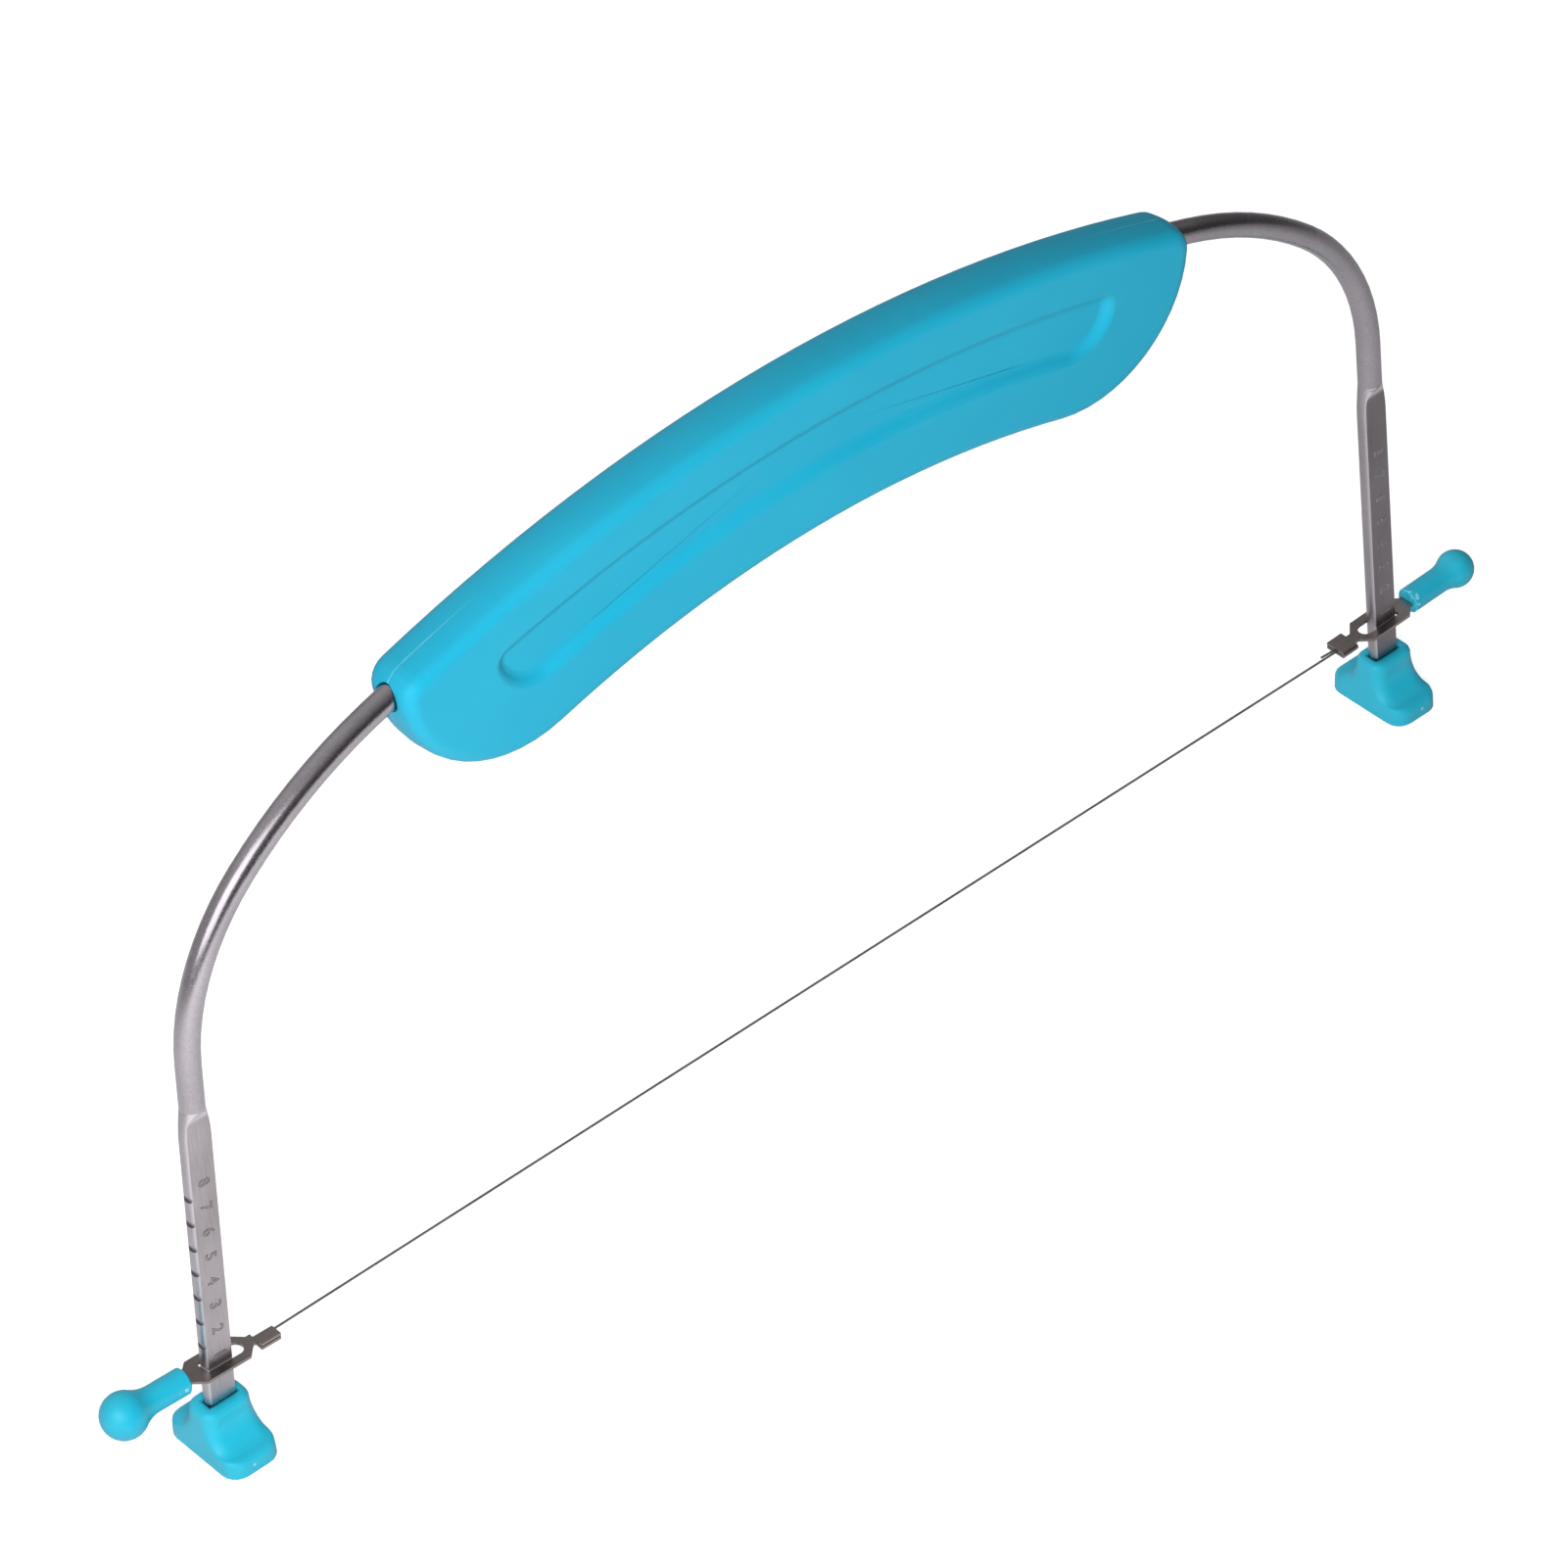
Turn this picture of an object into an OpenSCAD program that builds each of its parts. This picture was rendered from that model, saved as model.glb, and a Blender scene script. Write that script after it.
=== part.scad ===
// Adjustable cake leveler: a taut cutting wire hooked across the notched legs of a steel bow.
// +X runs along the wire, +Y to the rear and +Z up.
// The origin lies on the table, midway between the two feet. Sizes are in millimetres.

/* [Bow] */
// Distance between the two leg axes at table level
leg_spread = 290; // [270:1:310]
// Inward lean of each leg, in degrees
leg_lean = 2.6; // [0:0.1:4]
// Height at which the straight legs start to bend
leg_height = 88.5; // [86:0.5:105]
// Bend radius of the shoulder at the top of each leg
shoulder_r = 47; // [42:1:52]
// Angle round the shoulder bend at which the haunch bend takes over
shoulder_end = 48.5; // [46:0.5:54]
// Bend radius of the haunch, between shoulder and handle
haunch_r = 84; // [75:1:95]
// Slope of the rod where the haunch meets the crown, in degrees
crown_slope = 18; // [16:0.5:19]
// Diameter of the round steel rod
rod_d = 4.7; // [4.2:0.1:5.2]

/* [Pressed legs] */
// Height of the rounded arch where the pressed flat starts
flat_top = 79; // [76:1:84]
// Width of the pressed leg
flat_w = 6.2; // [5.4:0.1:6.6]
// Thickness between the two pressed faces
flat_t = 2.6; // [2:0.1:2.8]
// Radius that the press leaves at the arch
press_r = 6; // [4:0.5:8]
// Length over which the metal spreads to the full width
spread_l = 7; // [6:0.5:12]

/* [Height notches] */
// Number of notches in each leg
notch_count = 8; // [5:1:8]
// Height from one notch to the next
notch_pitch = 5.7; // [5:0.1:6]
// Height of the lowest notch, where the wire is set
notch_first = 19.8; // [18:0.1:22]
// Radius of each round notch
notch_r = 0.7; // [0.5:0.05:0.9]
// Depth of each notch
notch_depth = 0.5; // [0.3:0.05:0.6]

/* [Handle] */
// Length of the handle over its two end lobes
handle_length = 183.6; // [174:0.2:188]
// Thickness of the handle, both shells together
handle_t = 11.6; // [10:0.2:13]
// Height of the handle at its middle
handle_h = 32.9; // [30:0.1:38]
// Height of the handle's top over the rod's centre line at the middle
rod_cover = 5.4; // [5:0.1:6]
// Radius of the handle's back
back_r = 285; // [270:1:300]
// Radius of the finger curve under the handle
grip_r = 208; // [190:1:225]
// Radius of the lobe that hangs at each end
lobe_r = 25.8; // [23:0.2:28]
// Radius of the corner between back and lobe
tip_r = 5.2; // [4:0.1:6]
// Rounding of the handle's long edges
edge_r = 2.6; // [1.6:0.1:3]
// Angle to which the handle's back and grip are crowned where the rounding takes over
crown_angle = 12; // [4:1:20]
// Clearance between the rod and its channel in the shells
rod_fit = 0.05; // [0.03:0.01:0.1]
// Wider clearance round the rod where it enters the handle's ends
mouth_gap = 0.35; // [0.2:0.05:0.6]
// Length of that wider mouth
mouth_l = 3; // [2:0.5:5]

/* [Handle recess] */
// Length of the sunken panel in each face
recess_length = 144.6; // [130:0.2:150]
// Distance from the handle's back to the panel
recess_above = 9; // [8:0.1:10]
// Distance from the finger curve to the panel
recess_below = 12.4; // [11:0.1:13]
// Radius of the panel's round ends
recess_end_r = 9.8; // [8:0.1:10]
// Radius of the panel's upper corners
recess_tip_r = 3.4; // [3:0.1:4]
// Depth of the panel
recess_depth = 1.5; // [0.8:0.1:1.8]
// Width of the sloping wall round the panel
recess_slope = 2.4; // [1.6:0.1:2.6]

/* [Handle pegs] */
// Diameter of the pegs that line up the two shells
peg_d = 4; // [3:0.1:5]
// Length of the pegs
peg_l = 2; // [1.5:0.1:2.2]
// Distance of each peg from the middle of the handle
peg_x = 42; // [35:1:50]
// Height of the peg's centre over the finger curve
peg_over_grip = 9; // [7:0.5:12]
// Clearance round and beyond each peg
peg_fit = 0.1; // [0.05:0.01:0.2]

/* [Feet] */
// Size of the foot along the wire
foot_x = 11.5; // [10.5:0.1:14]
// Size of the foot across the wire
foot_y = 19.8; // [17:0.1:26]
// Height of the foot
foot_h = 11.6; // [10:0.1:13]
// Height of the lip at the front and rear of the base
foot_lip = 3.9; // [3:0.1:5]
// Size of the collar along the wire
collar_x = 10.4; // [9.6:0.1:11.5]
// Size of the collar across the wire
collar_y = 7.2; // [6:0.1:9]
// Radius of the upright corners of the base
foot_corner_r = 3.4; // [2:0.1:4]
// Radius of the upright corners of the collar
collar_corner_r = 2.6; // [1.8:0.1:2.9]
// Rounding of the lip and of the collar's rim
foot_edge_r = 1.2; // [0.6:0.1:1.4]
// Thickness of the sole under the leg
sole_t = 2; // [1.5:0.1:3]
// Clearance between the leg and its socket
socket_fit = 0.15; // [0.05:0.01:0.2]

/* [Clips] */
// Thickness of the clip's sheet steel
clip_t = 0.6; // [0.5:0.05:0.8]
// Width of the strands on each side of the leg
strand_w = 1.8; // [1.4:0.1:2.2]
// Clearance between the strands and the pressed faces
slot_side = 0.3; // [0.2:0.05:0.5]
// Clearance between the leg's outer edge and the end of the slot
hook_gap = 0.1; // [0.08:0.01:0.2]
// Room in the slot behind the leg, so that the clip can rise up the leaning leg
slot_room = 2.7; // [2.6:0.1:3.6]
// Chamfer at the corners of the ring on the wire's side
ring_chamfer = 2.1; // [1.4:0.1:2.6]
// Width of the bar that closes the slot on the wire's side
bar_w = 1.5; // [1.2:0.1:2]
// Metal left beyond the end of the slot
end_w = 1.3; // [1:0.1:1.8]
// Length of the taper from the ring to the tang
taper_l = 2; // [1.6:0.1:2.6]
// Width of the tang that enters the knob
tang_w = 3.2; // [2.6:0.1:3.6]
// Depth of the tang in the knob
tang_l = 6; // [5:0.1:8]
// Width of the neck between ring and crimp
waist_w = 2.4; // [1.8:0.1:2.8]
// Length of that neck
waist_l = 1.1; // [0.8:0.1:2]

/* [Crimps] */
// Length of the left crimp, which is folded right at the wire
left_crimp_l = 4.3; // [3.5:0.1:5]
// Width of its leaves from the wire to their free edge
left_leaf_w = 2.3; // [2:0.1:3.6]
// Length of the right crimp, which is folded beside the wire
right_crimp_l = 3.8; // [3.5:0.1:5]
// Width of its leaves from the wire to their free edge
right_leaf_w = 2.6; // [2:0.1:3.6]
// Distance from the wire to the fold of the right crimp
right_fold = 1.5; // [0:0.1:2]
// Gap between the two leaves
leaf_gap = 0.25; // [0.15:0.05:0.35]

/* [Wire] */
// Diameter of the cutting wire
wire_d = 0.5; // [0.4:0.02:0.6]
// Distance between the wire and its turned-back tail
tail_step = 0.6; // [0.58:0.01:0.7]
// Length of cut tail that shows at the right crimp
tail_l = 3.3; // [1:0.1:5]
// Angle between the showing tail and the wire, in degrees
tail_splay = 5; // [2:0.5:8]
// Clearance between the wire and the crimp's channel
wire_fit = 0.02; // [0.02:0.01:0.04]

/* [Knobs] */
// Diameter of the left knob's ball
left_ball_d = 9; // [8:0.1:11]
// Diameter of the right knob's ball, which is smaller
right_ball_d = 7.6; // [7:0.1:9]
// Distance from the open face of the neck to the ball's centre
knob_reach = 13.2; // [12:0.1:15]
// Diameter of the knob's neck
neck_d = 5.2; // [4.6:0.1:5.6]
// Radius of the sweep from neck to ball
sweep_r = 7; // [4:0.5:8]
// Distance from the end of the taper to the knob
knob_gap = 0.6; // [0.3:0.1:1]
// Clearance between the tang and its slot in the knob
tang_fit = 0.05; // [0.03:0.01:0.1]
// Chamfer at the neck's open end
neck_chamfer = 0.35; // [0.2:0.05:0.5]

/* [Hidden] */
$fn = 72;
bend_fn = 480;
rod_fn = 48;
round_steps = 6;
overcut = 1;
// Where two lengths of rod or wire meet, one laps into the other and is thinner by this much
// in radius, so that their skins never coincide
weld = 0.01;
rod_lap = 0.3;
wire_lap = 0.05;

teal = [0.16, 0.66, 0.8];
steel = [0.68, 0.66, 0.66];
dark_steel = [0.42, 0.4, 0.41];

// Centre line of the bow, right half: leg, shoulder, haunch and crown, each tangent to the next
leg_end = [leg_spread / 2 - leg_height * tan(leg_lean), leg_height];
shoulder_c = leg_end - shoulder_r * [cos(leg_lean), sin(leg_lean)];
haunch_c = shoulder_c + (shoulder_r - haunch_r) * [cos(shoulder_end), sin(shoulder_end)];
crown_start = 90 - crown_slope;
crown_r = haunch_r + haunch_c.x / cos(crown_start);
crown_c = [0, haunch_c.y - (crown_r - haunch_r) * sin(crown_start)];
rod_apex = crown_c.y + crown_r;

// Pressed part of the leg, measured along the leg from the table
flat_top_s = flat_top / cos(leg_lean);
press_depth = (rod_d - flat_t) / 2;
press_run = sqrt(pow(press_r, 2) - pow(press_r - press_depth, 2));
press_start = flat_top_s - press_run;
leg_foot_s = sole_t / cos(leg_lean) + socket_fit + flat_w / 2 * tan(leg_lean);
leg_end_s = leg_height / cos(leg_lean);

// Handle outline
handle_top = rod_apex + rod_cover;
grip_top = handle_top - handle_h;
wall_y = handle_t / 2;

// The foot stands under the leg where the leg passes half its height
foot_at = leg_spread / 2 - foot_h / 2 * tan(leg_lean);

// Clip: x is measured outward from the leg axis, in the plane square to the leg
slot_half = flat_t / 2 + slot_side;
slot_out = flat_w / 2 + hook_gap;
slot_in = -flat_w / 2 - slot_room;
ring_half = slot_half + strand_w;
ring_in = slot_in - bar_w;
crimp_out = ring_in - waist_l;
fold_t = 2 * clip_t + leaf_gap;
wire_z = -clip_t / 2 - leaf_gap / 2;
wire_end = crimp_out - wire_d;
left_crimp_in = crimp_out - left_crimp_l;
right_crimp_in = crimp_out - right_crimp_l;
taper_end = slot_out + end_w + taper_l;
neck_face = taper_end + knob_gap;
clip_at = leg_spread / 2 - notch_first * tan(leg_lean);

function polar(centre, r, a) = centre + r * [cos(a), sin(a)];
function arc(centre, r, from, to, steps) =
    [for (i = [0:steps - 1]) polar(centre, r, from + (to - from) * i / steps)];
function ease(t) = let (u = min(1, max(0, t))) u * u * (3 - 2 * u);
function mirrored(points) = [for (i = [len(points) - 1:-1:0]) [-points[i].x, points[i].y]];
function bearing(from, to) = atan2(to.y - from.y, to.x - from.x);

// Where two circles meet, on the right of the line from the first centre to the second
function circles_meet(a, ra, b, rb) =
    let (
        d = norm(b - a),
        along = (ra * ra - rb * rb + d * d) / (2 * d),
        aside = sqrt(ra * ra - along * along),
        u = (b - a) / d
    )
    a + along * u + aside * [u.y, -u.x];

// Crescent with a round back, a hanging lobe at each end and a finger curve below.
// Every arc is tangent to the next, and the whole outline can be drawn in by inset.
function crescent(back_z, back_r, half_l, lobe_r, tip_r, under_z, under_r, inset) =
    let (
        back_c = [0, back_z - back_r],
        under_c = [0, under_z - under_r],
        lobe_x = half_l - lobe_r,
        lobe_c = [lobe_x, under_c.y + sqrt(pow(under_r + lobe_r, 2) - lobe_x * lobe_x)],
        tip_c = circles_meet(back_c, back_r - tip_r, lobe_c, lobe_r - tip_r),
        back_a = bearing(back_c, tip_c),
        tip_a = bearing(lobe_c, tip_c),
        lobe_a = bearing(lobe_c, under_c),
        under_a = bearing(under_c, lobe_c),
        right = concat(
            arc(back_c, back_r - inset, 90, back_a, 14),
            arc(tip_c, tip_r - inset, back_a, tip_a, 5),
            arc(lobe_c, lobe_r - inset, tip_a, lobe_a, 14),
            arc(under_c, under_r + inset, under_a, 90, 12),
            [polar(under_c, under_r + inset, 90)]
        ),
        inner = [for (i = [1:len(right) - 2]) right[i]]
    )
    concat(right, mirrored(inner));

function handle_outline(inset) = crescent(
    handle_top, back_r, handle_length / 2, lobe_r, tip_r, grip_top, grip_r, inset);
function recess_outline(inset) = crescent(
    handle_top - recess_above, back_r - recess_above, recess_length / 2, recess_end_r,
    recess_tip_r, grip_top + recess_below, grip_r + recess_below, inset);
function upright(outline, y) = [for (p = outline) [p.x, y, p.y]];

// Skin over a stack of rings that all have the same number of points
module loft(rings) {
    n = len(rings[0]);
    last = (len(rings) - 1) * n;
    sides = [
        for (k = [0:len(rings) - 2], i = [0:n - 1])
            let (a = k * n + i, b = k * n + (i + 1) % n)
                each [[a, b + n, b], [a, a + n, b + n]]
    ];
    caps = [[for (i = [0:n - 1]) i], [for (i = [n - 1:-1:0]) last + i]];
    polyhedron([for (ring = rings) each ring], concat(sides, caps));
}

module both_sides() {
    children();
    mirror([1, 0, 0]) children();
}

// Leg frame: origin on the table at the leg axis, z up along the right leg, x outward
module on_leg() {
    translate([leg_spread / 2, 0, 0]) rotate([0, -leg_lean, 0]) children();
}

// Clip frame: the plane square to the leg at the lowest notch. The left clip is the same part,
// turned half round.
module on_clip(side) {
    rotate([0, 0, side == "left" ? 180 : 0])
        translate([clip_at, 0, notch_first]) rotate([0, -leg_lean, 0]) children();
}

// Round bar bent about a centre in the XZ plane
module bend(centre, r, from, to, d) {
    translate([centre.x, 0, centre.y]) rotate([90, 0, 0]) rotate([0, 0, from])
        rotate_extrude(angle = to - from, $fn = bend_fn) translate([r, 0]) circle(d = d, $fn = rod_fn);
}

module bends(d) {
    lap_a = rod_lap / haunch_r * 180 / PI;
    bend(crown_c, crown_r, crown_start, 180 - crown_start, d);
    both_sides() {
        bend(haunch_c, haunch_r, shoulder_end - lap_a, crown_start + lap_a, d - 2 * weld);
        bend(shoulder_c, shoulder_r, leg_lean, shoulder_end, d);
    }
}

// Section of the pressed leg at s: the round rod, spread sideways and cut off by the press faces
function half_press(s) =
    s <= press_start ? flat_t / 2
    : flat_t / 2 + press_r - sqrt(pow(press_r, 2) - pow(min(press_run, s - press_start), 2));
function half_spread(s) =
    let (
        full = flat_w / 2, round = rod_d / 2 - 2 * weld,
        below = min(1, max(0, (flat_top_s - s) / spread_l))
    )
    round + (full - round) * sin(90 * below);
function pressed_ring(s) =
    let (r = rod_d / 2 - 2 * weld, a = asin(min(0.99, half_press(s) / r)), w = half_spread(s))
    [
        for (side = [0, 180], i = [-5:5])
            let (t = side + a * i / 5) [w * cos(t), r * sin(t), s]
    ];

module pressed_leg() {
    difference() {
        loft([
            pressed_ring(leg_foot_s),
            for (i = [0:8]) pressed_ring(flat_top_s - spread_l + (spread_l - press_run) * i / 8),
            for (i = [1:7]) pressed_ring(press_start + press_run * i / 7),
            pressed_ring(flat_top_s + overcut),
        ]);
        for (k = [0:notch_count - 1])
            translate([
                flat_w / 2 - notch_depth + notch_r, 0,
                (notch_first + k * notch_pitch) / cos(leg_lean),
            ])
                rotate([90, 0, 0]) cylinder(r = notch_r, h = flat_t + 2 * overcut, center = true);
    }
}

module bow_frame() {
    color(steel) {
        bends(rod_d);
        both_sides() on_leg() {
            pressed_leg();
            translate([0, 0, flat_top_s])
                cylinder(d = rod_d - 2 * weld, h = leg_end_s + rod_lap - flat_top_s);
        }
    }
}

// From the parting plane to the face, as pairs of inset and y: a shallow crown, then the
// rounding of the long edge, which starts at the angle where the crown ends
function face_round() =
    let (
        crown_y = wall_y - edge_r * (1 - sin(crown_angle)),
        crown_in = crown_y * tan(crown_angle) / 2
    )
    concat(
        [for (i = [0:3]) [crown_in * i * i / 16, crown_y * i / 4]],
        [
            for (i = [0:round_steps])
                let (a = crown_angle + (90 - crown_angle) * i / round_steps)
                    [crown_in + edge_r * (cos(crown_angle) - cos(a)), wall_y - edge_r * (1 - sin(a))]
        ]
    );

// Wider end of the rod's channel, where the rod comes out of the handle's lobe
module rod_mouth() {
    end_a = acos(handle_length / 2 / crown_r);
    degrees_a_mm = 180 / PI / crown_r;
    bend(crown_c, crown_r, end_a - mouth_l * degrees_a_mm, end_a + mouth_l * degrees_a_mm,
        rod_d + 2 * mouth_gap);
}

// One half of the handle on the +Y side, with its panel and the rod's channel
module handle_half() {
    difference() {
        loft([for (step = face_round()) upright(handle_outline(step[0]), step[1])]);
        loft([
            for (i = [0:3])
                let (t = i / 3)
                    upright(recess_outline(recess_slope * (1 - t)), wall_y - recess_depth * (1 - ease(t))),
            upright(recess_outline(0), wall_y + overcut),
        ]);
        bends(rod_d + 2 * rod_fit);
        both_sides() rod_mouth();
    }
}

module at_pegs() {
    for (x = [-peg_x, peg_x]) {
        grip_z = grip_top - grip_r + sqrt(grip_r * grip_r - x * x);
        translate([x, 0, grip_z + peg_over_grip]) rotate([-90, 0, 0]) children();
    }
}

module handle_front_shell() {
    color(teal) {
        mirror([0, 1, 0]) handle_half();
        at_pegs() translate([0, 0, -overcut]) cylinder(d = peg_d, h = peg_l + overcut);
    }
}

module handle_rear_shell() {
    color(teal) difference() {
        handle_half();
        at_pegs() translate([0, 0, -overcut])
            cylinder(d = peg_d + 2 * peg_fit, h = peg_l + peg_fit + overcut);
    }
}

// Rounded rectangle of half sizes x and y at height z
function foot_ring(x, y, r, z) = [
    for (corner = [[1, 1, 0], [-1, 1, 90], [-1, -1, 180], [1, -1, 270]], i = [0:5])
        let (a = corner[2] + 90 * i / 5)
            [corner[0] * (x - r) + r * cos(a), corner[1] * (y - r) + r * sin(a), z]
];

// Half size of the foot along the wire at height z: its narrow sides are plane
function foot_side(z) = (foot_x + (collar_x - foot_x) * z / foot_h) / 2;

// Foot from sole to rim. Front and rear have a lip and a concave sweep in to the collar.
function foot_rings() =
    let (
        base_y = foot_y / 2, rim_y = collar_y / 2, e = foot_edge_r, sole_e = foot_edge_r / 3,
        sweep_top = foot_h - 1.6 * e, lip_y = base_y - e, lip_corner_r = foot_corner_r - e / 2
    )
    concat(
        [foot_ring(foot_side(0) - sole_e, base_y - sole_e, foot_corner_r - sole_e, 0)],
        [foot_ring(foot_side(sole_e), base_y, foot_corner_r, sole_e)],
        [
            for (i = [0:3])
                let (a = 30 * i, in = e * (1 - cos(a)), z = foot_lip - e + e * sin(a))
                    foot_ring(foot_side(z), base_y - in, foot_corner_r - in / 2, z)
        ],
        [
            for (i = [1:8])
                let (a = 90 * i / 8, z = foot_lip + (sweep_top - foot_lip) * (1 - cos(a)))
                    foot_ring(
                        foot_side(z), lip_y + (rim_y - lip_y) * sin(a),
                        lip_corner_r + (collar_corner_r - lip_corner_r) * sin(a), z)
        ],
        [
            for (i = [0:3])
                let (a = 30 * i, in = e * (1 - cos(a)), z = foot_h - e + e * sin(a))
                    foot_ring(foot_side(z) - in, rim_y - in, collar_corner_r - in, z)
        ]
    );

module foot() {
    color(teal) difference() {
        translate([foot_at, 0, 0]) loft(foot_rings());
        on_leg() translate([-flat_w / 2 - socket_fit, -flat_t / 2 - socket_fit, leg_foot_s - socket_fit])
            cube([flat_w + 2 * socket_fit, flat_t + 2 * socket_fit, foot_h]);
    }
}

module left_foot() { rotate([0, 0, 180]) foot(); }
module right_foot() { foot(); }

module ring_outline() {
    cut = ring_chamfer;
    polygon([
        [ring_in, -ring_half + cut], [ring_in + cut, -ring_half], [slot_out + end_w, -ring_half],
        [taper_end, -tang_w / 2], [taper_end, tang_w / 2],
        [slot_out + end_w, ring_half], [ring_in + cut, ring_half], [ring_in, ring_half - cut],
    ]);
}

module slot_outline() {
    translate([slot_in + slot_half, -slot_half]) square([slot_out - slot_in - slot_half, 2 * slot_half]);
    translate([slot_in + slot_half, 0]) circle(r = slot_half);
}

module slotted_plate() {
    translate([0, 0, -clip_t / 2]) linear_extrude(clip_t) {
        difference() {
            ring_outline();
            slot_outline();
        }
        translate([taper_end - weld, -tang_w / 2])
            square([neck_face + tang_l - taper_end + weld, tang_w]);
        translate([crimp_out - weld, -waist_w / 2]) square([waist_l + 2 * weld, waist_w]);
    }
}

// The clip's end folded under the wire: two leaves, joined by a round bend at the given distance
// from the wire's line
module crimp_profile(leaf_w, fold) {
    difference() {
        union() {
            translate([-fold, wire_z]) circle(d = fold_t);
            translate([-fold, wire_z - fold_t / 2]) square([leaf_w + fold, fold_t]);
        }
        translate([0, wire_z]) circle(r = wire_d / 2 + wire_fit);
        translate([tail_step, wire_z]) circle(r = wire_d / 2 + wire_fit);
        translate([0, wire_z - wire_d / 2 - wire_fit]) square([tail_step, wire_d + 2 * wire_fit]);
        translate([-fold, wire_z - leaf_gap / 2]) square([fold + leaf_w + overcut, leaf_gap]);
    }
}

module clip(crimp_l, leaf_w, fold) {
    color(dark_steel) {
        slotted_plate();
        translate([crimp_out - crimp_l, 0, 0]) rotate([90, 0, 90])
            linear_extrude(crimp_l) crimp_profile(leaf_w, fold);
    }
}

module left_clip() { on_clip("left") clip(left_crimp_l, left_leaf_w, 0); }
module right_clip() { on_clip("right") clip(right_crimp_l, right_leaf_w, right_fold); }

// Wire in one crimp: it runs in, turns back and comes out as a tail of the given length
module wire_anchor(crimp_in, tail) {
    along_x = [0, 90, 0];
    turn_r = tail_step / 2;
    turn_x = wire_end - turn_r;
    translate([crimp_in, 0, wire_z]) {
        rotate(along_x) cylinder(d = wire_d, h = turn_x - crimp_in + wire_lap);
        translate([0, tail_step, 0]) rotate(along_x) cylinder(d = wire_d, h = turn_x - crimp_in + wire_lap);
    }
    translate([turn_x, turn_r, wire_z]) rotate([0, 0, -90])
        rotate_extrude(angle = 180) translate([turn_r, 0]) circle(d = wire_d - 2 * weld);
    if (tail > 0) translate([crimp_in, tail_step, wire_z]) rotate([0, -90, -tail_splay])
        translate([0, 0, -wire_lap]) cylinder(d = wire_d - 2 * weld, h = tail + wire_lap);
}

// Mouth of a crimp, seen along the wire: how far out and how high the wire leaves it
function mouth_x(crimp_in) = clip_at + crimp_in * cos(leg_lean) - wire_z * sin(leg_lean);
function mouth_z(crimp_in) = notch_first + crimp_in * sin(leg_lean) + wire_z * cos(leg_lean);

module cutting_wire() {
    from = [-mouth_x(left_crimp_in) - wire_lap, mouth_z(left_crimp_in)];
    to = [mouth_x(right_crimp_in) + wire_lap, mouth_z(right_crimp_in)];
    color(steel) {
        translate([from.x, 0, from.y]) rotate([0, 90 - bearing(from, to), 0])
            cylinder(d = wire_d - 2 * weld, h = norm(to - from));
        on_clip("left") wire_anchor(left_crimp_in, 0);
        on_clip("right") wire_anchor(right_crimp_in, tail_l);
    }
}

// Half section of the knob: x is the radius, y runs from the neck's open face. The sweep circle
// cuts a hair into the ball, so that the two meet at a crossing and never merely touch.
module knob_section(ball_d) {
    sweep_x = neck_d / 2 + sweep_r;
    sweep_y = knob_reach - sqrt(pow(ball_d / 2 + sweep_r - weld, 2) - pow(sweep_x, 2));
    difference() {
        polygon([
            [0, 0], [neck_d / 2 - neck_chamfer, 0], [neck_d / 2, neck_chamfer],
            [neck_d / 2, sweep_y], [sweep_x, sweep_y], [0, knob_reach],
        ]);
        translate([sweep_x, sweep_y]) circle(r = sweep_r);
    }
    intersection() {
        translate([0, knob_reach]) circle(d = ball_d);
        translate([0, knob_reach - ball_d]) square([ball_d, 2 * ball_d]);
    }
}

module knob(ball_d) {
    color(teal) difference() {
        translate([neck_face, 0, 0]) rotate([0, 90, 0]) rotate_extrude() knob_section(ball_d);
        translate([neck_face - overcut, -tang_w / 2 - tang_fit, -clip_t / 2 - tang_fit])
            cube([tang_l + tang_fit + overcut, tang_w + 2 * tang_fit, clip_t + 2 * tang_fit]);
    }
}

module left_knob() { on_clip("left") knob(left_ball_d); }
module right_knob() { on_clip("right") knob(right_ball_d); }

bow_frame();
handle_front_shell();
handle_rear_shell();
left_foot();
right_foot();
cutting_wire();
left_clip();
right_clip();
left_knob();
right_knob();
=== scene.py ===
import math

import bmesh
import bpy
from mathutils import Matrix, Vector


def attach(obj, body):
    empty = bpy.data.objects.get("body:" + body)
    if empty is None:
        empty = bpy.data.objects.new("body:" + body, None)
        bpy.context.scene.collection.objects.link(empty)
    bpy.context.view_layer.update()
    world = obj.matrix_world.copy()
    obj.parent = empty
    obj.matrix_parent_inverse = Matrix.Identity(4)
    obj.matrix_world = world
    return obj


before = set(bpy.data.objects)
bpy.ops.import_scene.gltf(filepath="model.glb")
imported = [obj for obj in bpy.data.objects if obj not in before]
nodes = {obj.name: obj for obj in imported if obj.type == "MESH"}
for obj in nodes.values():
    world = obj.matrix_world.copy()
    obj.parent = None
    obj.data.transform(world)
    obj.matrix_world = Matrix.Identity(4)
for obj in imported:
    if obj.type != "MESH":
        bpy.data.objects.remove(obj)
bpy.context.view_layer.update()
scene = bpy.context.scene

MM = 0.001

# Sizes of the CAD part that the looks follow, in millimetres
FLAT_TOP = 79.0  # where the pressed flats of the legs end
NOTCH_FIRST, NOTCH_PITCH, NOTCHES = 19.8, 5.7, 8
NOTCHES_TOP = 61.0  # just above the highest notch
LEG_FOOT_X = 145.0  # from the middle to a leg, at the table
LEG_FACE_Y = -1.3  # front face of the pressed legs
LEG_LEAN = math.radians(2.6)


# Materials: small helpers for node trees


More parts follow.
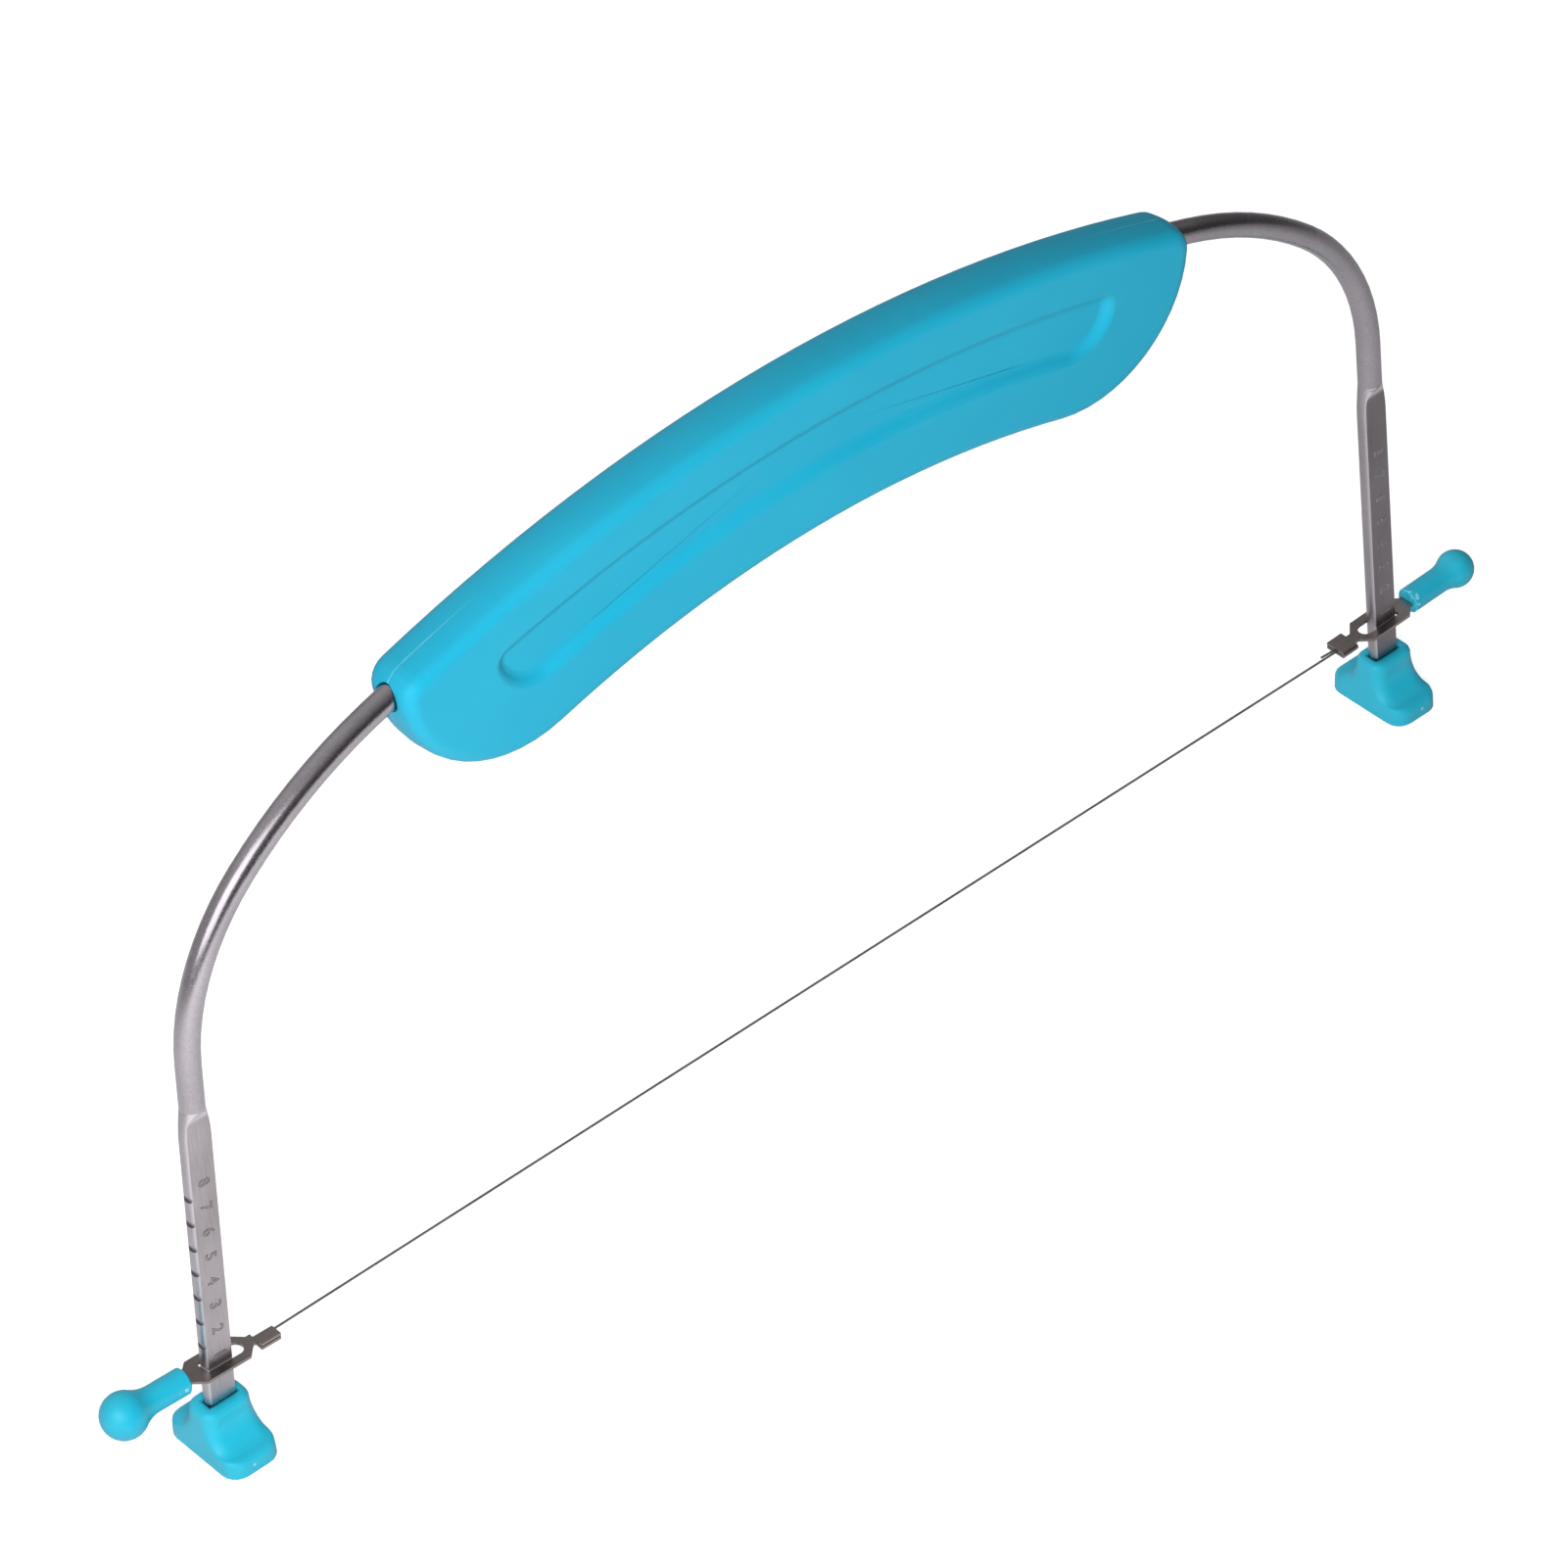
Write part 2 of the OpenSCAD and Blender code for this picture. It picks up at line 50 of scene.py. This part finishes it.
def srgb(r, g, b):
    """A colour given in 0 to 255, as linear RGBA."""

    def lin(c):
        c /= 255
        return c / 12.92 if c <= 0.04045 else ((c + 0.055) / 1.055) ** 2.4

    return (lin(r), lin(g), lin(b), 1.0)


class Tree:
    """Builds one material's nodes. Sizes are in millimetres of object space."""

    def __init__(self, name):
        self.mat = bpy.data.materials.new(name)
        self.mat.use_nodes = True
        self.tree = self.mat.node_tree
        self.bsdf = self.tree.nodes["Principled BSDF"]
        coords = self.node("ShaderNodeTexCoord")
        self.point = self.vec_math("SCALE", coords.outputs["Object"], scale=1000)
        self.split = None

    def node(self, kind, **settings):
        n = self.tree.nodes.new(kind)
        for key, value in settings.items():
            setattr(n, key, value)
        return n

    def link(self, out, socket):
        self.tree.links.new(out, socket)

    def put(self, socket, value):
        """Links an output to the socket, or sets a plain value on it."""
        if hasattr(value, "is_output"):
            self.link(value, socket)
        else:
            socket.default_value = value

    def vec_math(self, op, a, b=None, scale=None):
        n = self.node("ShaderNodeVectorMath", operation=op)
        self.put(n.inputs[0], a)
        if b is not None:
            self.put(n.inputs[1], b)
        if scale is not None:
            self.put(n.inputs["Scale"], scale)
        return n.outputs["Value" if op == "LENGTH" else "Vector"]

    def axis(self, letter):
        """One coordinate of the object point, in millimetres."""
        if self.split is None:
            self.split = self.node("ShaderNodeSeparateXYZ")
            self.link(self.point, self.split.inputs[0])
        return self.split.outputs[letter]

    def math(self, op, a, b=0.0, c=None):
        n = self.node("ShaderNodeMath", operation=op)
        self.put(n.inputs[0], a)
        self.put(n.inputs[1], b)
        if c is not None:
            self.put(n.inputs[2], c)
        return n.outputs[0]

    def stretched(self, size):
        """Object point divided by size, so that a texture is that many mm long on each axis."""
        return self.vec_math("DIVIDE", self.point, size)

    def noise(self, vector, detail=2.0, rough=0.5):
        n = self.node("ShaderNodeTexNoise")
        self.link(vector, n.inputs["Vector"])
        n.inputs["Scale"].default_value = 1.0
        n.inputs["Detail"].default_value = detail
        n.inputs["Roughness"].default_value = rough
        return n.outputs["Fac"]

    def span(self, value, low, high, to_low=0.0, to_high=1.0):
        """Maps low to high onto to_low to to_high, and holds the ends."""
        n = self.node("ShaderNodeMapRange")
        self.put(n.inputs["Value"], value)
        n.inputs["From Min"].default_value = low
        n.inputs["From Max"].default_value = high
        n.inputs["To Min"].default_value = to_low
        n.inputs["To Max"].default_value = to_high
        return n.outputs["Result"]

    def mix(self, fac, a, b, kind="RGBA"):
        n = self.node("ShaderNodeMix", data_type=kind)
        self.put(n.inputs["Factor"], fac)
        self.put(n.inputs["A"], a)
        self.put(n.inputs["B"], b)
        return n.outputs["Result"]

    def bump(self, height, distance, strength, normal=None):
        n = self.node("ShaderNodeBump")
        n.inputs["Distance"].default_value = distance
        n.inputs["Strength"].default_value = strength
        self.link(height, n.inputs["Height"])
        if normal is not None:
            self.link(normal, n.inputs["Normal"])
        return n.outputs["Normal"]

    def rounded(self, radius):
        """The normal of the surface with its edges rounded, radius in metres."""
        n = self.node("ShaderNodeBevel", samples=4)
        n.inputs["Radius"].default_value = radius
        return n.outputs["Normal"]

    def shade(self, **sockets):
        """Fills sockets of the shader, named with _ for a space."""
        for name, value in sockets.items():
            self.put(self.bsdf.inputs[name.replace("_", " ")], value)
        return self.mat


def plastic(name, base, deep, gloss, marks=(), soft_edge=None, joint_at_middle=False):
    """Satin moulded plastic. Each mark is a function of the tree that returns a mask, and the
    colour and strength with which it shows. With joint_at_middle the soft edges leave out the
    joint line at Y 0, where they would draw a groove."""
    t = Tree(name)
    cloud = t.noise(t.stretched((40, 12, 25)), detail=3)
    grain = t.noise(t.stretched((0.35, 0.35, 0.35)))
    color = t.mix(t.span(cloud, 0.3, 0.7), deep, base)
    for mask, tint, strength in marks:
        color = t.mix(t.math("MULTIPLY", mask(t), strength), color, tint)
    normal = t.rounded(soft_edge) if soft_edge else None
    if joint_at_middle:
        away = t.span(t.math("ABSOLUTE", t.axis("Y")), 2, 2.5)
        plain = t.node("ShaderNodeNewGeometry").outputs["Normal"]
        change = t.vec_math("SUBTRACT", normal, plain)
        normal = t.vec_math("ADD", plain, t.vec_math("SCALE", change, scale=away))
        normal = t.vec_math("NORMALIZE", normal)
    return t.shade(
        Base_Color=color,
        Roughness=t.span(cloud, 0.3, 0.7, 0.40, 0.48),
        Normal=t.bump(grain, 0.00001, 0.5, normal),
        Specular_IOR_Level=gloss,
    )


def seam(t):
    """The joint line of the two shells, clearest near the handle's ends."""
    line = t.span(t.math("ABSOLUTE", t.axis("Y")), 0.06, 0.16, 1, 0)
    ends = t.span(t.math("ABSOLUTE", t.axis("X")), 70, 84)
    patchy = t.span(t.noise(t.stretched((5, 5, 5))), 0.35, 0.6, 0.4, 1)
    return t.math("MULTIPLY", line, t.math("MULTIPLY", ends, patchy))


def spot(centre, radius):
    """A round mark of the given radius about a point, both in millimetres."""

    def mask(t):
        away = t.vec_math("LENGTH", t.vec_math("SUBTRACT", t.point, centre))
        return t.span(away, radius * 0.6, radius, 1, 0)

    return mask


def scuffs(low, high):
    """Ragged flecks in a box between two corners, in millimetres."""
    soft = 0.3

    def mask(t):
        flecks = t.span(t.noise(t.stretched((0.8, 0.8, 0.8)), detail=3), 0.56, 0.62)
        for axis, a, b in zip("XYZ", low, high):
            flecks = t.math("MULTIPLY", flecks, t.span(t.axis(axis), a, a + soft))
            flecks = t.math("MULTIPLY", flecks, t.span(t.axis(axis), b - soft, b, 1, 0))
        return flecks

    return mask


def metal(name, light, dark, grain, rough_low, rough_high):
    """Dull steel whose streaks are grain mm long on each axis."""
    t = Tree(name)
    streak = t.noise(t.stretched(grain), detail=4, rough=0.6)
    cloud = t.noise(t.stretched((18, 18, 18)), detail=3)
    blend = t.math("MULTIPLY_ADD", cloud, 0.5, t.math("MULTIPLY", streak, 0.5))
    return t.shade(
        Base_Color=t.mix(t.span(blend, 0.3, 0.7), dark, light),
        Metallic=1.0,
        Roughness=t.span(streak, 0.3, 0.7, rough_low, rough_high),
        Normal=t.bump(streak, 0.000006, 0.6),
    )


ROD = srgb(176, 169, 176), srgb(202, 195, 202)
PRESSED_FACE = srgb(166, 158, 162), srgb(208, 200, 205)
# Painted highlight along the rounded ridges of the legs
RIDGE_HIGHLIGHT = srgb(232, 226, 232)
NOTCH = srgb(74, 68, 72)
# Painted shade: the rod and the pressed faces darken towards these colours on the right
ROD_PAINTED_SHADE = srgb(120, 112, 118)
FACE_PAINTED_SHADE = srgb(100, 92, 96)


def rod_metal():
    """Satin rod with fine specks. The pressed faces of the legs have a grain along their length
    and darker patches, and their ridges are lighter as a painted highlight. The notches are
    dark.
    All of it is darker towards the right as painted shade, the pressed faces most, which leaves
    their narrow sides brighter."""
    t = Tree("rod_steel")
    normal = t.node("ShaderNodeSeparateXYZ")
    t.link(t.node("ShaderNodeTexCoord").outputs["Normal"], normal.inputs[0])
    facing = t.math("ABSOLUTE", normal.outputs["Y"])
    leg = t.span(t.axis("Z"), FLAT_TOP, FLAT_TOP + 0.4, 1, 0)
    face = t.math("MULTIPLY", t.span(facing, 0.95, 0.99), leg)
    # Painted highlight on the rounded ridges between the pressed faces and the sides
    ridge_highlight = t.math("MULTIPLY", t.span(facing, 0.4, 0.7), leg)
    notch = t.span(t.math("ABSOLUTE", normal.outputs["Z"]), 0.2, 0.7, 0, 0.75)
    notched = t.span(t.axis("Z"), NOTCHES_TOP, NOTCHES_TOP + 1, 1, 0)
    # How far the painted shade towards the right has grown
    right = t.span(t.axis("X"), 0, 120)

    specks = t.noise(t.stretched((0.5, 0.5, 0.5)), detail=4, rough=0.6)
    strokes = t.noise(t.stretched((0.22, 0.22, 7)), detail=4, rough=0.65)
    cloud = t.noise(t.stretched((9, 9, 16)), detail=3)
    grain = t.mix(face, specks, strokes, "FLOAT")
    blend = t.math("MULTIPLY_ADD", cloud, 0.45, t.math("MULTIPLY", grain, 0.55))
    tone = t.span(blend, 0.3, 0.7)

    # Painted shade towards the right, light on the rod and strong on the pressed faces
    rod = t.mix(t.math("MULTIPLY", right, 0.12), t.mix(tone, *ROD), ROD_PAINTED_SHADE)
    rod = t.mix(ridge_highlight, rod, RIDGE_HIGHLIGHT)
    pressed = t.mix(t.math("MULTIPLY", right, 0.58), t.mix(tone, *PRESSED_FACE), FACE_PAINTED_SHADE)
    color = t.mix(face, rod, pressed)
    color = t.mix(t.math("MULTIPLY", notch, notched), color, NOTCH)
    rod_rough = t.span(grain, 0.3, 0.7, 0.22, 0.29)
    leg_rough = t.span(grain, 0.3, 0.7, 0.3, 0.42)
    return t.shade(
        Base_Color=color,
        Metallic=1.0,
        Roughness=t.mix(leg, rod_rough, leg_rough, "FLOAT"),
        Normal=t.bump(grain, 0.000001, 0.6),
    )


PALE = srgb(150, 222, 238)  # moulding marks and rubbed places in the plastic
handle_mat = plastic(
    "handle_plastic",
    srgb(36, 175, 208),
    srgb(28, 169, 203),
    gloss=0.3,
    marks=[(seam, PALE, 0.55)],
    soft_edge=0.0008,
    joint_at_middle=True,
)
foot_mat = plastic(
    "foot_plastic",
    srgb(32, 186, 214),
    srgb(26, 178, 208),
    gloss=0.7,
    marks=[
        (spot((-145.6, -9.7, 2.2), 0.45), PALE, 0.9),
        (spot((145.4, -9.7, 2.2), 0.5), PALE, 0.9),
    ],
    soft_edge=0.0009,
)
knob_mat = plastic(
    "knob_plastic",
    srgb(34, 183, 210),
    srgb(26, 174, 204),
    gloss=0.6,
    marks=[
        (scuffs((-154.5, -3, 16), (-151, -0.5, 21)), PALE, 0.8),
        (scuffs((151, -3, 16), (152.6, 1.5, 24)), PALE, 0.8),
    ],
)
rod_mat = rod_metal()
clip_mat = metal(
    "clip_steel", srgb(180, 169, 165), srgb(130, 121, 119), (2, 0.3, 0.3), 0.32, 0.48
)
wire_mat = metal(
    "wire_steel", srgb(190, 186, 186), srgb(150, 146, 146), (3, 0.2, 0.2), 0.3, 0.45
)
# Painted shade in the stamped strokes of the left leg's numbers
painted_shade_stamp = metal(
    "stamp_painted_shade", srgb(104, 98, 101), srgb(76, 70, 73), (0.3, 0.3, 0.3), 0.35, 0.5
)
# Painted highlight on the stamped strokes of the right leg's numbers
painted_highlight_stamp = metal(
    "stamp_painted_highlight", srgb(226, 219, 223), srgb(196, 188, 193), (0.3, 0.3, 0.3), 0.5, 0.6
)

LOOKS = {
    "bow_frame": rod_mat,
    "handle_front_shell": handle_mat,
    "handle_rear_shell": handle_mat,
    "left_foot": foot_mat,
    "right_foot": foot_mat,
    "cutting_wire": wire_mat,
    "left_clip": clip_mat,
    "right_clip": clip_mat,
    "left_knob": knob_mat,
    "right_knob": knob_mat,
}
for name, look in LOOKS.items():
    node = nodes[name]
    node.data.materials.clear()
    node.data.materials.append(look)


# Height numbers along the front face of each leg, in the place of the maker's lettering

NUMBER_SIZE, STROKE_RADIUS = 3.4, 0.05
QUARTER = math.radians(90)
READ_UPWARDS = Matrix.Rotation(QUARTER, 4, "Y") @ Matrix.Rotation(QUARTER, 4, "X")


def number_mesh(text):
    """The outline of a number as thin tubes, lying in the XY plane."""
    curve = bpy.data.curves.new("number", "FONT")
    curve.body = text
    curve.size = NUMBER_SIZE * MM
    curve.align_x, curve.align_y = "CENTER", "CENTER"
    curve.fill_mode = "NONE"
    curve.bevel_depth = STROKE_RADIUS * MM
    curve.bevel_resolution = 1
    curve.resolution_u = 3
    glyph = bpy.data.objects.new("number", curve)
    mesh = bpy.data.meshes.new_from_object(glyph)
    bpy.data.objects.remove(glyph)
    bpy.data.curves.remove(curve)
    return mesh


def stamped_numbers(name, side, look):
    """Numbers 1 to 8 on one leg, each half a pitch above its notch. Side is -1 for the left."""
    leg = Matrix.Translation((side * LEG_FOOT_X * MM, 0, 0))
    leg = leg @ Matrix.Rotation(-side * LEG_LEAN, 4, "Y")
    build = bmesh.new()
    for k in range(NOTCHES):
        mesh = number_mesh(str(k + 1))
        height = (NOTCH_FIRST + (k + 0.5) * NOTCH_PITCH) / math.cos(LEG_LEAN) * MM
        place = Matrix.Translation((0, LEG_FACE_Y * MM, height))
        mesh.transform(leg @ place @ READ_UPWARDS)
        build.from_mesh(mesh)
        bpy.data.meshes.remove(mesh)
    joined = bpy.data.meshes.new(name)
    build.to_mesh(joined)
    build.free()
    joined.materials.append(look)
    piece = bpy.data.objects.new(name, joined)
    scene.collection.objects.link(piece)
    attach(piece, "frame")


# The left numbers are dark as painted shade, the right ones light as painted highlight
stamped_numbers("left_leg_numbers", -1, painted_shade_stamp)
stamped_numbers("right_leg_numbers", 1, painted_highlight_stamp)


# Camera: the photograph's viewpoint, with angles in degrees and its focal length in pixels

AZIMUTH, ELEVATION, ROLL = -38.85, 40.34, -4.19
DISTANCE = 1.3357
TARGET = Vector((-0.00713, 0.0, 0.06966))
FOCAL_PX, IMAGE_PX, SENSOR = 7586.0, 1601, 36.0

azimuth, elevation, roll = map(math.radians, (AZIMUTH, ELEVATION, ROLL))
ground = math.cos(elevation)
back = Vector((math.sin(azimuth) * ground, -math.cos(azimuth) * ground, math.sin(elevation)))
level_right = (-back).cross(Vector((0, 0, 1))).normalized()
level_up = level_right.cross(-back)
image_right = level_right * math.cos(roll) + level_up * math.sin(roll)
image_up = -level_right * math.sin(roll) + level_up * math.cos(roll)

cam_data = bpy.data.cameras.new("camera")
cam_data.sensor_width = SENSOR
cam_data.lens = FOCAL_PX / IMAGE_PX * SENSOR
cam_data.clip_start, cam_data.clip_end = 0.05, 20
cam = bpy.data.objects.new("camera", cam_data)
scene.collection.objects.link(cam)
basis = Matrix((image_right, image_up, back)).transposed().to_4x4()
cam.matrix_world = Matrix.Translation(TARGET + back * DISTANCE) @ basis
scene.camera = cam


# Studio: a grey floor that the camera sees as white with the object's shadow, a dim world, a key
# lamp at the front left, a card there that only shows in reflections, and a fill at the back

FLOOR_HALF = 3.0
FLOOR_LIFT = 0.72  # takes the lit floor to white, and leaves its shadow


def floor_material():
    """The camera sees the floor lifted, and to full white away from the lamps. In reflections in
    the object it glows only near the front left, as a painted pool of light."""
    t = Tree("floor")
    tone = t.span(t.noise(t.stretched((600, 600, 600))), 0.3, 0.7, 0.60, 0.62)
    rgb = t.node("ShaderNodeCombineColor")
    for channel in range(3):
        t.link(tone, rgb.inputs[channel])
    path = t.node("ShaderNodeLightPath").outputs
    mirrored = t.math("MAXIMUM", path["Is Glossy Ray"], path["Is Transmission Ray"])
    away = t.vec_math("LENGTH", t.vec_math("SUBTRACT", t.point, (-250, -250, 0)))
    # Painted pool of light near the front left, seen only in reflections
    near = t.span(away, 150, 600, 0.4, 0.02)
    seen = t.math("MULTIPLY_ADD", mirrored, near, path["Is Camera Ray"])
    lift = t.span(t.vec_math("LENGTH", t.point), 300, 700, FLOOR_LIFT, 1.0)
    return t.shade(
        Base_Color=rgb.outputs[0],
        Roughness=0.9,
        Specular_IOR_Level=0.2,
        Emission_Color=(1, 1, 1, 1),
        Emission_Strength=t.math("MULTIPLY", seen, lift),
    )


floor_mesh = bpy.data.meshes.new("floor")
corners = [(x * FLOOR_HALF, y * FLOOR_HALF, 0) for x, y in ((-1, -1), (1, -1), (1, 1), (-1, 1))]
floor_mesh.from_pydata(corners, [], [(0, 1, 2, 3)])
floor = bpy.data.objects.new("floor", floor_mesh)
scene.collection.objects.link(floor)
floor_mesh.materials.append(floor_material())

WORLD_RAMP = ((0.0, 0.15), (0.25, 0.11), (0.6, 0.30), (1.0, 0.40))  # height, level
FRONT_RIGHT = (0.6, -0.8, 0)


def studio_world():
    """Seen by the camera it is white. For the object it has a dark horizon under a soft ceiling,
    darker still at the front right and lighter at the back left."""
    world = bpy.data.worlds.new("world")
    world.use_nodes = True
    tree = world.node_tree

    def node(kind, *inputs, **settings):
        n = tree.nodes.new(kind)
        for key, value in settings.items():
            setattr(n, key, value)
        for socket, value in zip(n.inputs, inputs):
            if hasattr(value, "is_output"):
                tree.links.new(value, socket)
            else:
                socket.default_value = value
        return n.outputs

    toward = node("ShaderNodeTexCoord")["Generated"]
    ramp = tree.nodes.new("ShaderNodeValToRGB")
    tree.links.new(node("ShaderNodeSeparateXYZ", toward)["Z"], ramp.inputs["Fac"])
    while len(ramp.color_ramp.elements) < len(WORLD_RAMP):
        ramp.color_ramp.elements.new(0.5)
    for element, (place, level) in zip(ramp.color_ramp.elements, WORLD_RAMP):
        element.position = place
        element.color = (level, level, level, 1)
    side = node("ShaderNodeVectorMath", toward, FRONT_RIGHT, operation="DOT_PRODUCT")["Value"]
    dim = node("ShaderNodeMapRange", side, 0.0, 1.0, 1.0, 0.3)[0]
    lift = node("ShaderNodeMapRange", side, 0.0, -1.0, 0.0, 0.26)[0]
    level = node("ShaderNodeMath", ramp.outputs["Color"], dim, lift, operation="MULTIPLY_ADD")[0]
    camera = node("ShaderNodeLightPath")["Is Camera Ray"]
    level = node("ShaderNodeMath", level, camera, operation="MAXIMUM")[0]
    tree.links.new(level, tree.nodes["Background"].inputs["Strength"])
    tree.nodes["Background"].inputs["Color"].default_value = (1, 1, 1, 1)
    return world


scene.world = studio_world()

LAMPS_AIM = Vector((0, 0, 0.09))


def area_lamp(name, place, size, watts, lights=True, mirrored=True):
    """A lamp the camera never sees. It may light without a mirror image, or the reverse."""
    data = bpy.data.lights.new(name, "AREA")
    data.shape = "RECTANGLE"
    data.size, data.size_y = size
    data.energy = watts
    lamp = bpy.data.objects.new(name, data)
    lamp.location = place
    lamp.rotation_mode = "QUATERNION"
    lamp.rotation_quaternion = (Vector(place) - LAMPS_AIM).to_track_quat("Z", "Y")
    lamp.visible_camera = False
    lamp.visible_diffuse = lights
    lamp.visible_glossy = mirrored
    scene.collection.objects.link(lamp)


area_lamp("key", (-0.47, -0.50, 0.46), (0.42, 0.34), 6.4, mirrored=False)
area_lamp("left_card", (-0.66, -0.24, 0.44), (0.56, 0.50), 1.8, lights=False)
area_lamp("back_fill", (0.15, 0.75, 0.22), (0.80, 0.40), 1.6, mirrored=False)

scene.view_settings.view_transform = "Standard"
